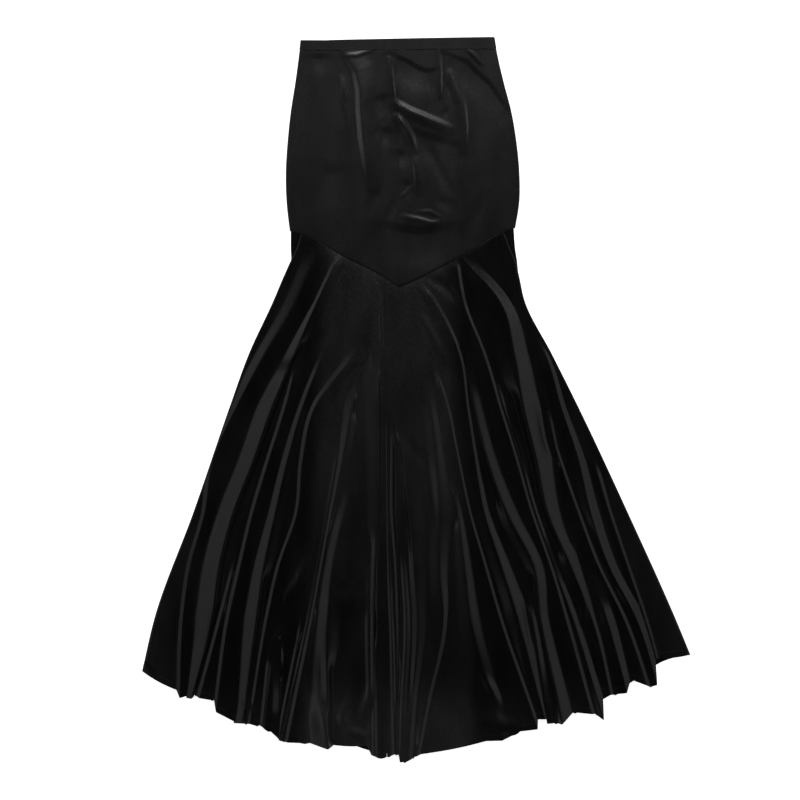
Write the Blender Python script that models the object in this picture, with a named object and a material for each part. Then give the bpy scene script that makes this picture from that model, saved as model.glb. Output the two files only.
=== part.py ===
"""Mermaid (fishtail) maxi skirt in black stretch velvet, laid flat on its back.

A waistband and a close-fitting yoke end in a V seam at the hip, and a flared
flounce hangs from the V down to a hem that dips to a point at the centre.
The back panels lie flat on the surface. The front panels lie on them, a
little puffed, and the flounce's surplus cloth stands up in pleats and rolls.

Lengths in the tables are millimetres in the laid skirt's own plan: `down` is
measured from the waist towards the hem, `across` from the centre front
towards the wearer's left. The scene is in metres: the waist lies towards +Y,
the wearer's left towards +X, and the surface it lies on is z = 0.
"""

from collections import namedtuple

import bpy
import numpy as np

MM = 0.001

# Middle of the laid skirt's bounding box, in its plan.
MIDDLE_ACROSS = 24.2
MIDDLE_DOWN = 548.8

CLOTH = 1.2  # velvet, pile included
BAND = 1.8  # waistband: velvet folded over an elastic
SEAM_GAP = 0.3  # between neighbouring pieces
BACK_SEAM_UP = 3.0  # the back's V seam lies this much nearer the waist than the front's

PUFF = 7.0  # how far the front stands off the back, away from the side seams
PUFF_ROLL = 14.0  # distance from a side seam over which it rises

# Waistline: the top edges of the two bands and the seam under them.
WaistRow = namedtuple("WaistRow", "across back_top front_top seam")
WAIST = [
    WaistRow(-150, 5.0, 4.0, 19.0),
    WaistRow(-99, 3.0, 4.5, 19.0),
    WaistRow(-30, 1.5, 4.0, 19.0),
    WaistRow(45, 0.0, 3.0, 18.5),
    WaistRow(106, -1.0, 2.0, 17.5),
    WaistRow(144, -1.5, 0.0, 17.0),
]

# Band and yoke: the side seams and the centre-front seam between them.
YokeRow = namedtuple("YokeRow", "down right centre left")
YOKE = [
    YokeRow(0, -150, -15, 143),
    YokeRow(18, -152, -15, 146),
    YokeRow(71, -159, -12, 158),
    YokeRow(109, -165, -6, 168),
    YokeRow(155, -170, -3, 176),
    YokeRow(208, -173, -3, 181),
    YokeRow(246, -172, -4, 181),
    YokeRow(292, -167, -4, 174),
    YokeRow(380, -150, -3, 158),
]

# The V seam: each arm from its side seam to the point.
SeamRow = namedtuple("SeamRow", "across down")
V_RIGHT = [
    SeamRow(-169, 293),
    SeamRow(-144, 301),
    SeamRow(-84, 334),
    SeamRow(-23, 366),
    SeamRow(-3, 380),
]
V_LEFT = [
    SeamRow(-3, 380),
    SeamRow(15, 373),
    SeamRow(76, 342),
    SeamRow(122, 317),
    SeamRow(152, 298),
    SeamRow(172, 290),
]

# Flounce: its side seams. Just under the V the front is drawn in, and the back shows beside it.
SideRow = namedtuple("SideRow", "down back_right front_right centre front_left back_left")
SIDES = [
    SideRow(293, -166, -149, -23, 157, 173),
    SideRow(320, -166, -157, -23, 167, 175),
    SideRow(340, -166, -166, -23, 175, 178),
    SideRow(360, -175, -175, -23, 180, 180),
    SideRow(400, -192, -192, -23, 189, 189),
    SideRow(480, -229, -229, -22, 230, 230),
    SideRow(560, -258, -258, -22, 270, 270),
    SideRow(720, -313, -313, -21, 345, 345),
    SideRow(880, -372, -372, -20, 417, 417),
    SideRow(965, -392, -392, -20, 452, 452),
]

# Front flounce: its folds in order across each half. A fold begins at `start` and is full grown
# at `full`. Its crest runs through the `at` values at the depths in CREST_DEPTHS. The flank on its
# `side` (-1 right, 1 left) is the steep one, `edge` wide, and the other is `back` wide. Those
# widths and its `rise` over the cloth beside it are given at the depths in SIZE_DEPTHS. `hem` is
# the depth of the hem at its right foot, its crest and its left foot.
CREST_DEPTHS = (340, 400, 480, 560, 640, 720, 800, 880, 1010)
SIZE_DEPTHS = (400, 560, 720, 880, 1010)
Fold = namedtuple("Fold", "name side start full at edge back rise hem")
RIGHT_FOLDS = [
    Fold("outer_roll", -1, 307, 360, (-132, -157, -204, -248, -284, -296, -318, -329, -334),
         (20, 13.5, 5.5, 5.5, 5.5), (30.5, 23, 27.5, 24.5, 21.5), (3.4, 4, 4, 4, 4), (990, 1002, 999)),
    Fold("side_roll", -1, 322, 372, (-97, -125, -159, -192, -220, -251, -272, -283, -318),
         (5.5, 26, 26, 29, 6), (21.5, 12, 24.5, 30.5, 9), (4, 8, 8, 8.5, 1.5), (1002, 1003, 997)),
    Fold("side_tuck", -1, 775, 877, (-87, -119, -156, -182, -210, -234, -251, -271, -306),
         (4.5, 4.5, 4.5, 5.5, 5.5), (12, 12, 12, 15, 18), (3, 3, 3, 4, 4), (999, 1002, 1005)),
    Fold("long_pleat", -1, 499, 542, (-82, -117, -152, -173, -198, -222, -241, -259, -277),
         (5.5, 6, 6, 6, 5.5), (18, 18, 24.5, 24.5, 30.5), (3.5, 4, 4, 4, 4.5), (1005, 1023, 1037)),
    Fold("second_roll", -1, 444, 542, (-58, -81, -116, -147, -170, -188, -205, -216, -234),
         (6, 7.5, 12, 21.5, 12), (18, 15, 15, 18, 15), (2.5, 3, 4, 6.5, 3.5), (1040, 1040, 1041)),
    Fold("inner_pleat", -1, 467, 528, (-47, -59, -73, -128, -147, -155, -182, -200, -222),
         (12, 7.5, 5.5, 5.5, 4.5), (21.5, 36.5, 18, 24.5, 9), (3.5, 4.5, 3.5, 4, 1.5), (1041, 1041, 1044)),
    Fold("hem_loop", -1, 933, 973, (-44, -56, -70, -125, -144, -150, -175, -190, -204),
         (4.5, 4.5, 4.5, 4.5, 5.5), (4.5, 4.5, 4.5, 4.5, 4.5), (3, 3, 3, 3, 4), (1043, 1046, 1049)),
    Fold("hem_panel", -1, 945, 1006, (-41, -53, -67, -122, -141, -146, -167, -178, -182),
         (9, 9, 9, 9, 12), (6, 6, 6, 6, 3), (3, 3, 3, 3, 3), (1053, 1064, 1066)),
    Fold("hem_pleat", -1, 854, 952, (-38, -50, -64, -114, -125, -134, -138, -148, -173),
         (4, 4, 4, 4.5, 4.5), (7.5, 7.5, 7.5, 9, 9), (2.5, 2.5, 2.5, 2.5, 3), (1066, 1066, 1067)),
    Fold("twin_pleat", -1, 611, 672, (-36, -47, -62, -90, -96, -109, -123, -138, -167),
         (4.5, 4.5, 5.5, 4.5, 3), (3, 3, 3, 3, 1.5), (2, 2, 2, 2, 0.5), (1067, 1067, 1067)),
    Fold("panel_pleat", -1, 520, 563, (-35, -44, -61, -72, -87, -103, -118, -132, -158),
         (9, 13.5, 7, 6, 6), (15, 12, 12, 13.5, 18), (3, 3.5, 3.5, 4, 4), (1068, 1069, 1070)),
    Fold("middle_roll", -1, 657, 742, (-33, -41, -53, -58, -61, -84, -101, -109, -109),
         (12, 12, 12, 16.5, 27.5), (18, 18, 24.5, 21.5, 15), (3, 3, 3.5, 5, 8), (1070, 1078, 1073)),
    Fold("centre_ripple", -1, 775, 865, (-30, -36, -41, -44, -44, -44, -46, -48, -46),
         (6, 6, 6, 6, 5.5), (4.5, 4.5, 4.5, 4.5, 4.5), (1.5, 1.5, 1.5, 2, 1.5), (1074, 1084, 1087)),
    Fold("seam_roll", -1, 474, 559, (-28, -30, -33, -33, -33, -34, -38, -40, -39),
         (18, 30.5, 21.5, 5.5, 5.5), (4.5, 4.5, 4.5, 4.5, 5.5), (3, 4.5, 3, 2, 2), (1088, 1090, 1093)),
]
LEFT_FOLDS = [
    Fold("seam_ripple", -1, 543, 676, (-20, -20, -20, -21, -21, -19, -17, -13, -10),
         (4.5, 4.5, 4.5, 4.5, 4.5), (4.5, 4.5, 4.5, 4.5, 5.5), (1.2, 1.4, 1.6, 2, 2), (1089, 1087, 1088)),
    Fold("point_ripple", -1, 543, 628, (-15, -14, -12, -11, -11, -11, -5, -2, -2),
         (4, 4, 4, 4.5, 3), (3, 3, 3, 3, 3), (1, 1.2, 1.4, 1.6, 0.5), (1088, 1088, 1089)),
    Fold("point_pleat", -1, 733, 829, (-6, -5, -5, -5, -3, 1, 5, 10, 4),
         (4.5, 4.5, 4.5, 5.5, 4.5), (4.5, 4.5, 4.5, 7.5, 9), (1.4, 1.4, 1.6, 2, 2.5), (1090, 1099, 1099)),
    Fold("point_roll", 1, 543, 652, (-5, -6, -7, -8, 5, 13, 21, 27, 18),
         (6, 7.5, 26, 13.5, 7.5), (6, 6, 9, 12, 9), (1.5, 2, 3.5, 3, 2.5), (1099, 1097, 1093)),
    Fold("soft_roll", 1, 508, 575, (18, 27, 36, 46, 56, 60, 59, 65, 40),
         (10.5, 12, 21.5, 7.5, 6), (12, 12, 18, 21.5, 15), (2, 3, 4, 4, 2.5), (1091, 1090, 1087)),
    Fold("fine_roll", 1, 644, 737, (27, 36, 46, 56, 71, 87, 97, 106, 140),
         (6, 6, 7.5, 16.5, 16.5), (9, 9, 9, 21.5, 24.5), (2, 2, 2.5, 5, 2.5), (1067, 1066, 1059)),
    Fold("long_pleat", 1, 489, 550, (38, 47, 47, 71, 87, 104, 127, 150, 195),
         (4.5, 4.5, 4.5, 5.5, 5.5), (9, 9, 15, 21.5, 27.5), (3, 3, 3, 4, 4.5), (1052, 1049, 1034)),
    Fold("broad_roll", 1, 372, 414, (8, 51, 89, 101, 113, 127, 152, 177, 213),
         (5.5, 5.5, 9, 23, 4.5), (24.5, 21.5, 18, 24.5, 12), (4, 4, 4.5, 7, 1.5), (1034, 1034, 1034)),
    Fold("roll_edge", 1, 831, 917, (36, 61, 96, 111, 126, 141, 181, 200, 219),
         (4.5, 4.5, 4.5, 6, 10.5), (7.5, 7.5, 7.5, 6, 12), (3, 3, 3, 3, 4.5), (1037, 1041, 1040)),
    Fold("panel_roll", 1, 492, 561, (61, 79, 96, 112, 131, 160, 201, 212, 239),
         (7.5, 13.5, 20, 13.5, 20), (9, 10.5, 21.5, 10.5, 15), (3, 4, 6, 4.5, 6), (1040, 1041, 1024)),
    Fold("thin_pleat", 1, 325, 375, (85, 95, 126, 150, 175, 198, 226, 250, 286),
         (7, 4.5, 4.5, 5.5, 5.5), (21.5, 21.5, 21.5, 21.5, 21.5), (4, 4, 4, 4, 4), (1024, 1026, 1026)),
    Fold("twin_pleat", 1, 512, 573, (93, 102, 132, 157, 181, 205, 232, 261, 301),
         (4.5, 4.5, 4.5, 9, 10.5), (4, 4, 4.5, 7.5, 12), (3, 3, 3, 4.5, 6), (1028, 1035, 997)),
    Fold("side_roll", 1, 327, 380, (99, 150, 172, 185, 205, 222, 257, 290, 322),
         (23, 36.5, 27.5, 6, 4.5), (45.5, 39.5, 21.5, 18, 12), (7, 10, 8, 4, 1), (997, 997, 997)),
    Fold("hem_roll", 1, 836, 884, (109, 157, 175, 190, 213, 237, 283, 312, 348),
         (12, 12, 12, 13.5, 9), (10.5, 10.5, 10.5, 12, 15), (4, 4, 4, 4.5, 4.5), (996, 994, 976)),
    Fold("outer_pleat", 1, 550, 648, (116, 163, 182, 216, 241, 269, 299, 338, 383),
         (4.5, 4.5, 4.5, 5.5, 5.5), (12, 12, 21.5, 21.5, 18), (4, 4, 4, 4, 4.5), (975, 983, 986)),
    Fold("outer_roll", 1, 454, 523, (122, 170, 220, 244, 270, 288, 315, 357, 398),
         (5.5, 7.5, 15, 13.5, 6), (18, 18, 13.5, 15, 9), (4, 4.5, 5, 5, 3), (985, 982, 945)),
    Fold("edge_tuck", 1, 634, 682, (128, 176, 226, 258, 292, 317, 344, 371, 407),
         (9, 9, 4.5, 4, 3), (9, 9, 10.5, 7.5, 6), (2.5, 2.5, 2.5, 2, 0.5), (944, 943, 942)),
]
HEM_RIGHT_CORNER = 962
HEM_CENTRE = 1091
HEM_LEFT_CORNER = 937
CLOSEST = 1.8  # least distance between two crests
FLAT_SHARE = 0.06  # least share of the way between two crests that lies flat
EDGE_SHARE = 0.85  # most of the way to the next crest that a steep flank takes
LEAD_IN = 40.0  # a fold's flanks widen over this length above its start
LEAST_FLANK = 0.8  # width of a flank above that
ROUNDED = 0.1  # share of a flank's width that is rounded at its crest, and at its foot
STEEPEST_EDGE = (0.37, 0.29)  # most rise of a fold, as a share of its steep flank's width,
STEEPEST_AT = (0, 300)  # this far from the laid skirt's middle
STEEPEST_BACK = 1.2  # the same for the other flank, anywhere
GENTLE_BACK = (0.3, 0.42)  # from this share to this, that flank is drawn in to a steep one
STEEP_BACK = 0.95  # its share then
BACK_CLAIM = 0.8  # share of that flank that keeps folds not yet begun away

# Back flounce: its hem, straight across the folds.
BACK_HEM = [
    SeamRow(-392, 962),
    SeamRow(-337, 986),
    SeamRow(-213, 1030),
    SeamRow(-106, 1062),
    SeamRow(-20, 1087),
    SeamRow(20, 1083),
    SeamRow(106, 1058),
    SeamRow(205, 1029),
    SeamRow(298, 1010),
    SeamRow(350, 980),
    SeamRow(398, 948),
    SeamRow(441, 936),
]

YOKE_COLUMNS = 12
YOKE_ROWS = 14
BAND_COLUMNS = 16
BAND_ROWS = 2
FLOUNCE_ROWS = 20
FLANK_SHARES = (0.0, 0.5)  # columns of a flank, from its crest
FLAT_STEPS = 1
BACK_ROWS = 8


def curve(xs, ys, x):
    """Smooth curve through (xs, ys), straight on beyond both ends."""
    xs = np.asarray(xs, float)
    ys = np.asarray(ys, float)
    slopes = np.gradient(ys, xs)
    cell = np.clip(np.searchsorted(xs, x) - 1, 0, len(xs) - 2)
    width = xs[cell + 1] - xs[cell]
    inside = np.clip(x, xs[0], xs[-1])
    s = (inside - xs[cell]) / width
    start = (1 + 2 * s) * (1 - s) ** 2 * ys[cell] + s * (1 - s) ** 2 * width * slopes[cell]
    end = s * s * (3 - 2 * s) * ys[cell + 1] + s * s * (s - 1) * width * slopes[cell + 1]
    beyond = np.where(x < xs[0], slopes[0], slopes[-1]) * (x - inside)
    return start + end + beyond


def column(table, name, x):
    """The named column of a table whose first column is the place along it."""
    return curve([row[0] for row in table], [getattr(row, name) for row in table], x)


def seam_down(across):
    """Depth of the V seam at this distance across."""
    point = V_LEFT[0].across
    return np.where(across < point, column(V_RIGHT, "down", across), column(V_LEFT, "down", across))


def meet(line_across, edge_down, first_down):
    """Depth at which a line running down the skirt meets an edge running across it."""
    down = np.full_like(line_across(first_down), first_down)
    for _ in range(12):
        down = edge_down(line_across(down))
    return down


def puff(across, down, table, right, left):
    """Height of the front's middle surface over the back's top, with no folds."""
    from_right = across - column(table, right, down)
    from_left = column(table, left, down) - across
    inside = np.clip(np.minimum(from_right, from_left), 0, None)
    return PUFF * (1 - np.exp(-inside / PUFF_ROLL))


def grow(down, start, full):
    """0 where a fold begins, 1 where it is full grown."""
    s = np.clip((down - start) / (full - start), 0, 1)
    return s * s * (3 - 2 * s)


def facet(away, rounded):
    """Height on a flank, `away` from its crest, 0, to its foot, 1: an even fall that is rounded
    over this share at both."""
    nearer = np.minimum(away, 1 - away)
    curved = nearer**2 / (2 * rounded)
    fallen = np.where(nearer < rounded, curved, nearer - rounded / 2) / (1 - rounded)
    return np.where(away < 0.5, 1 - fallen, fallen)


def presence(fold, down):
    """0 well above the place where a fold begins, 1 from there on."""
    return grow(down, fold.start - LEAD_IN, fold.start)


def flank(fold, down, hand):
    """Width of a fold's flank on its right (-1) or its left (1)."""
    wide = np.interp(down, SIZE_DEPTHS, fold.edge if hand == fold.side else fold.back)
    return LEAST_FLANK + (wide - LEAST_FLANK) * presence(fold, down)


def fold_lines(folds, down, first_edge, last_edge):
    """The panel's first edge, each fold's crest and its last edge at these depths, in order.
    A fold that hasn't begun gives way to the flanks of those that have, to the steep ones last."""
    here = [presence(fold, down) for fold in folds]
    lines = [curve(CREST_DEPTHS, fold.at, down) for fold in folds]
    places = range(len(folds))
    for firm, hand in ((False, 1), (False, -1), (True, 1), (True, -1)):
        for index in places[::hand]:
            for other in places[:index] if hand > 0 else places[index + 1 :]:
                if (folds[other].side == hand) != firm:
                    continue
                kept = hand * flank(folds[other], down, hand) * (1 if firm else BACK_CLAIM)
                pushed = hand * np.maximum(hand * lines[index], hand * (lines[other] + kept))
                yielding = np.clip(here[other] - here[index], 0, 1)
                lines[index] = lines[index] + yielding * (pushed - lines[index])
    lines = [first_edge(down)] + lines + [last_edge(down)]
    for index in range(1, len(lines) - 1):
        lines[index] = np.maximum(lines[index], lines[index - 1] + CLOSEST)
    for index in range(len(lines) - 2, 0, -1):
        lines[index] = np.minimum(lines[index], lines[index + 1] - CLOSEST)
    return lines


def flank_sizes(folds, down, lines):
    """For each stretch between two lines, the widths of the flanks at its start and its end."""
    sizes = []
    for index in range(len(folds) + 1):
        room = (lines[index + 1] - lines[index]) * (1 - FLAT_SHARE)
        before = folds[index - 1] if index > 0 else None
        after = folds[index] if index < len(folds) else None
        start_wide = flank(before, down, 1) if before else 0 * room
        end_wide = flank(after, down, -1) if after else 0 * room
        start_firm = before is not None and before.side > 0
        end_firm = after is not None and after.side < 0
        if start_firm and not end_firm:
            start_wide = np.minimum(start_wide, EDGE_SHARE * room)
            end_wide = np.minimum(end_wide, room - start_wide)
        elif end_firm and not start_firm:
            end_wide = np.minimum(end_wide, EDGE_SHARE * room)
            start_wide = np.minimum(start_wide, room - end_wide)
        else:
            crowding = np.maximum((start_wide + end_wide) / room, 1)
            start_wide, end_wide = start_wide / crowding, end_wide / crowding
        sizes.append([start_wide, end_wide])
    return sizes


def fold_rises(folds, down, lines, sizes):
    """Height of each fold's crest over the cloth beside it."""
    rises = []
    for index, fold in enumerate(folds):
        right, left = sizes[index][1], sizes[index + 1][0]
        edge_wide, back_wide = (right, left) if fold.side < 0 else (left, right)
        tall = np.interp(down, SIZE_DEPTHS, fold.rise) * grow(down, fold.start, fold.full)
        steepest = np.interp(np.abs(lines[index + 1] - MIDDLE_ACROSS), STEEPEST_AT, STEEPEST_EDGE)
        rises.append(np.minimum(tall, np.minimum(steepest * edge_wide, STEEPEST_BACK * back_wide)))
    return rises


def shaped_folds(folds, down, first_edge, last_edge):
    """The lines, the widths of the flanks and the heights of the crests at these depths. A flank
    that would be between gentle and steep is drawn in until it is steep."""
    lines = fold_lines(folds, down, first_edge, last_edge)
    sizes = flank_sizes(folds, down, lines)
    rises = fold_rises(folds, down, lines, sizes)
    for index, fold in enumerate(folds):
        stretch, end = (index + 1, 0) if fold.side < 0 else (index, 1)
        back_wide = sizes[stretch][end]
        slope = rises[index] / back_wide
        drawn_in = grow(slope, *GENTLE_BACK) * (1 - np.minimum(slope / STEEP_BACK, 1))
        sizes[stretch][end] = back_wide * (1 - drawn_in)
    return lines, sizes, rises


def flounce_columns(folds):
    """(stretch, part, share) of each column: part 0 is the flank after a crest, 1 flat, 2 the flank before one."""
    columns = []
    for index in range(len(folds) + 1):
        if index > 0:
            columns += [(index, 0, share) for share in FLANK_SHARES]
        columns += [(index, 1, step / FLAT_STEPS) for step in range(FLAT_STEPS)]
        if index < len(folds):
            columns += [(index, 2, share) for share in FLANK_SHARES]
    return columns + [(len(folds), 1, 1.0)]


def flounce_points(folds, columns, down, first_edge, last_edge):
    """(across, rise) of points whose last axis runs over the columns."""
    lines, sizes, rises = shaped_folds(folds, down, first_edge, last_edge)
    across = np.zeros_like(down)
    rise = np.zeros_like(down)
    for place, (index, part, share) in enumerate(columns):
        start, end = lines[index][..., place], lines[index + 1][..., place]
        after, before = sizes[index][0][..., place], sizes[index][1][..., place]
        if part == 1:
            across[..., place] = start + after + (end - start - after - before) * share
            continue
        fold, away = (folds[index - 1], share) if part == 0 else (folds[index], 1 - share)
        across[..., place] = start + after * away if part == 0 else end - before * away
        tall = rises[index - 1 if part == 0 else index][..., place]
        rise[..., place] = tall * facet(away, ROUNDED)
    return across, rise


def hem_depths(folds, columns, corners):
    """Depth of the front hem on each column: corners are those at the first and the last edge."""
    depths = []
    for index, part, share in columns:
        last = corners[0] if index == 0 else folds[index - 1].hem[2]
        following = corners[1] if index == len(folds) else folds[index].hem[0]
        if part == 0:
            last, following = folds[index - 1].hem[1:]
        if part == 2:
            last, following = folds[index].hem[:2]
        depths.append(last + (following - last) * share)
    return np.array(depths, float)


def flounce_front(folds, first_edge, last_edge, corners):
    """Middle surface of one half of the front flounce, as rows of points from the V to the hem."""
    columns = flounce_columns(folds)

    def line_across(down):
        return flounce_points(folds, columns, down, first_edge, last_edge)[0]

    top = meet(line_across, seam_down, np.full(len(columns), 340.0)) + SEAM_GAP / 2
    bottom = hem_depths(folds, columns, corners)
    down = np.linspace(top, bottom, FLOUNCE_ROWS)
    across, rise = flounce_points(folds, columns, down, first_edge, last_edge)
    height = CLOTH + SEAM_GAP + CLOTH / 2 + rise
    height += puff(across, down, SIDES, "front_right", "front_left")
    return np.stack([across, down, height], axis=-1)


def between(edges, top_down, bottom_down, columns, rows):
    """(across, down) of a plain panel's grid: `columns` steps from each edge to the next."""
    shares = np.linspace(0, len(edges) - 1, columns * (len(edges) - 1) + 1)
    grid = []
    for share in shares:
        stretch = min(int(share), len(edges) - 2)
        way = share - stretch

        def line_across(down):
            return edges[stretch](down) * (1 - way) + edges[stretch + 1](down) * way

        top = meet(line_across, top_down, 20.0)
        bottom = meet(line_across, bottom_down, 340.0)
        down = np.linspace(top, bottom, rows)
        grid.append(np.stack([line_across(down), down], axis=-1))
    return np.stack(grid, axis=1)


def raised(plan, height):
    """Adds a height, one number or one for each point, to a plan grid."""
    return np.concatenate([plan, np.broadcast_to(height, plan.shape[:2])[..., None]], axis=-1)


def material(name, roughness):
    """Black pile fabric."""
    made = bpy.data.materials.new(name)
    made.use_nodes = True
    shader = made.node_tree.nodes["Principled BSDF"]
    shader.inputs["Base Color"].default_value = (0.008, 0.008, 0.009, 1)
    shader.inputs["Roughness"].default_value = roughness
    shader.inputs["Metallic"].default_value = 0.0
    shader.inputs["Sheen Weight"].default_value = 0.4
    return made


def wall(name, middle, thickness, look):
    """Closed panel of even thickness about a grid of (across, down, height) points."""
    rows, columns = middle.shape[:2]
    points = np.stack(
        [middle[..., 0] - MIDDLE_ACROSS, MIDDLE_DOWN - middle[..., 1], middle[..., 2]], axis=-1
    )
    mesh = bpy.data.meshes.new(name)
    corners = [(r * columns + c) for r in range(rows - 1) for c in range(columns - 1)]
    faces = [(i, i + columns, i + columns + 1, i + 1) for i in corners]
    mesh.from_pydata((points.reshape(-1, 3) * MM).tolist(), [], faces)
    mesh.shade_smooth()
    mesh.materials.append(look)
    made = bpy.data.objects.new(name, mesh)
    bpy.context.scene.collection.objects.link(made)
    solid = made.modifiers.new("cloth", "SOLIDIFY")
    solid.thickness = thickness * MM
    solid.offset = 0
    return made


for old in list(bpy.data.objects):
    bpy.data.objects.remove(old)

velvet = material("velvet", 0.55)
yoke_velvet = material("yoke_velvet", 0.42)


def edge(table, name, inset=0.0):
    """A side or centre seam as a function of depth, moved across by `inset`."""
    return lambda down: column(table, name, down) + inset


def waist(name, below=0.0):
    """A line of the waist as a function of the distance across."""
    return lambda across: column(WAIST, name, across) + below


def bands():
    """The two bands: the back one shows just above the front one."""
    for name, top, on_back in (("waistband_back", "back_top", False), ("waistband_front", "front_top", True)):
        plan = between(
            (edge(YOKE, "right"), edge(YOKE, "left")),
            waist(top),
            waist("seam", -SEAM_GAP / 2),
            BAND_COLUMNS,
            BAND_ROWS,
        )
        height = BAND / 2
        if on_back:
            height = BAND + SEAM_GAP + BAND / 2
            height = height + puff(plan[..., 0], plan[..., 1], YOKE, "right", "left")
        wall(name, raised(plan, height), BAND, yoke_velvet)


def yokes():
    """Two front halves, joined at the centre-front seam, over one back panel."""
    halves = (
        ("yoke_front_right", edge(YOKE, "right"), edge(YOKE, "centre", -SEAM_GAP / 2)),
        ("yoke_front_left", edge(YOKE, "centre", SEAM_GAP / 2), edge(YOKE, "left")),
    )
    for name, first_edge, last_edge in halves:
        plan = between(
            (first_edge, last_edge),
            waist("seam", SEAM_GAP / 2),
            lambda across: seam_down(across) - SEAM_GAP / 2,
            YOKE_COLUMNS,
            YOKE_ROWS,
        )
        height = CLOTH + SEAM_GAP + CLOTH / 2
        height = height + puff(plan[..., 0], plan[..., 1], YOKE, "right", "left")
        wall(name, raised(plan, height), CLOTH, yoke_velvet)
    plan = between(
        (edge(YOKE, "right"), edge(YOKE, "centre"), edge(YOKE, "left")),
        waist("seam", SEAM_GAP / 2),
        lambda across: seam_down(across) - BACK_SEAM_UP - SEAM_GAP / 2,
        YOKE_COLUMNS,
        BACK_ROWS,
    )
    wall("yoke_back", raised(plan, CLOTH / 2), CLOTH, yoke_velvet)


def flounces():
    """Two front halves, joined under the V's point, over one back panel."""
    right = flounce_front(
        RIGHT_FOLDS,
        edge(SIDES, "front_right"),
        edge(SIDES, "centre", -SEAM_GAP / 2),
        (HEM_RIGHT_CORNER, HEM_CENTRE),
    )
    wall("flounce_front_right", right, CLOTH, velvet)
    left = flounce_front(
        LEFT_FOLDS,
        edge(SIDES, "centre", SEAM_GAP / 2),
        edge(SIDES, "front_left"),
        (HEM_CENTRE, HEM_LEFT_CORNER),
    )
    wall("flounce_front_left", left, CLOTH, velvet)
    plan = between(
        (edge(SIDES, "back_right"), lambda down: V_LEFT[0].across + 0 * down, edge(SIDES, "back_left")),
        lambda across: seam_down(across) - BACK_SEAM_UP + SEAM_GAP / 2,
        lambda across: column(BACK_HEM, "down", across),
        YOKE_COLUMNS,
        BACK_ROWS,
    )
    wall("flounce_back", raised(plan, CLOTH / 2), CLOTH, velvet)


bands()
yokes()
flounces()
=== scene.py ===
"""Looks of the mermaid fishtail skirt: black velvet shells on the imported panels.

Lengths in the tables are millimetres in the laid skirt's own plan, as in part.py: `down` is
measured from the waist towards the hem, `across` from the centre front towards the wearer's
left. The surface that the skirt lies on is z = 0.
"""

import math
from collections import namedtuple

import bpy
import numpy as np
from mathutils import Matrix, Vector


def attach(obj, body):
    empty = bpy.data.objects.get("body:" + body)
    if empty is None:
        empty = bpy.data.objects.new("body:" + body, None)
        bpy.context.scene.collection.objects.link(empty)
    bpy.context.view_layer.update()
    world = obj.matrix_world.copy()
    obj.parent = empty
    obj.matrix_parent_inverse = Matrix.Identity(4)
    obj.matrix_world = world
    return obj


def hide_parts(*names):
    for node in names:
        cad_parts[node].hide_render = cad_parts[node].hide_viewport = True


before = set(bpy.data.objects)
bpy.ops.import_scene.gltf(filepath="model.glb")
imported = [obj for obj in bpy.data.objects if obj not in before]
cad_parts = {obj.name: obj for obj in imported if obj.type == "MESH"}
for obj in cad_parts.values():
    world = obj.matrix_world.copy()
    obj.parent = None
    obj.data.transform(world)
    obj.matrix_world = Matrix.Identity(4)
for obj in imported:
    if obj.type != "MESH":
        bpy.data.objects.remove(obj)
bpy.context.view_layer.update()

MM = 0.001

# Middle of the laid skirt's bounding box, in its plan.
MIDDLE_ACROSS = 24.2
MIDDLE_DOWN = 548.8

CLOTH = 1.2  # velvet, pile included
BAND = 1.8  # waistband: velvet folded over an elastic
SEAM_GAP = 0.3  # between neighbouring pieces
BACK_SEAM_UP = 3.0  # the back's V seam lies this much nearer the waist than the front's

# How far the front stands off the back at each depth, away from the side seams. The first part
# of that, RIM, it rises at the seam itself, over RIM_ROLL, and the rest over PUFF_REACH.
PUFF_DEPTHS = (0, 400, 700, 1000)
PUFF = (4.5, 4.5, 6.0, 7.0)
RIM = 1.0
RIM_ROLL = 0.3
PUFF_REACH = 70.0

# Waistline: the top edges of the two bands and the seam under them.
WaistRow = namedtuple("WaistRow", "across back_top front_top seam")
WAIST = [
    WaistRow(-150, 5.0, 4.0, 19.0),
    WaistRow(-99, 3.0, 4.5, 19.0),
    WaistRow(-30, 1.5, 4.0, 19.0),
    WaistRow(45, 0.0, 3.0, 18.5),
    WaistRow(106, -1.0, 2.0, 17.5),
    WaistRow(144, -1.5, 0.0, 17.0),
]

# Band and yoke: the side seams and the centre-front seam between them.
YokeRow = namedtuple("YokeRow", "down right centre left")
YOKE = [
    YokeRow(0, -150, -15, 143),
    YokeRow(18, -152, -15, 146),
    YokeRow(71, -159, -12, 158),
    YokeRow(109, -165, -6, 168),
    YokeRow(155, -170, -3, 176),
    YokeRow(208, -173, -3, 181),
    YokeRow(246, -172, -4, 181),
    YokeRow(292, -167, -4, 174),
    YokeRow(380, -150, -3, 158),
]

# The V seam: each arm from its side seam to the point.
SeamRow = namedtuple("SeamRow", "across down")
V_RIGHT = [
    SeamRow(-169, 293),
    SeamRow(-144, 301),
    SeamRow(-84, 334),
    SeamRow(-23, 366),
    SeamRow(-3, 380),
]
V_LEFT = [
    SeamRow(-3, 380),
    SeamRow(15, 373),
    SeamRow(76, 342),
    SeamRow(122, 317),
    SeamRow(152, 298),
    SeamRow(172, 290),
]

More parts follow.
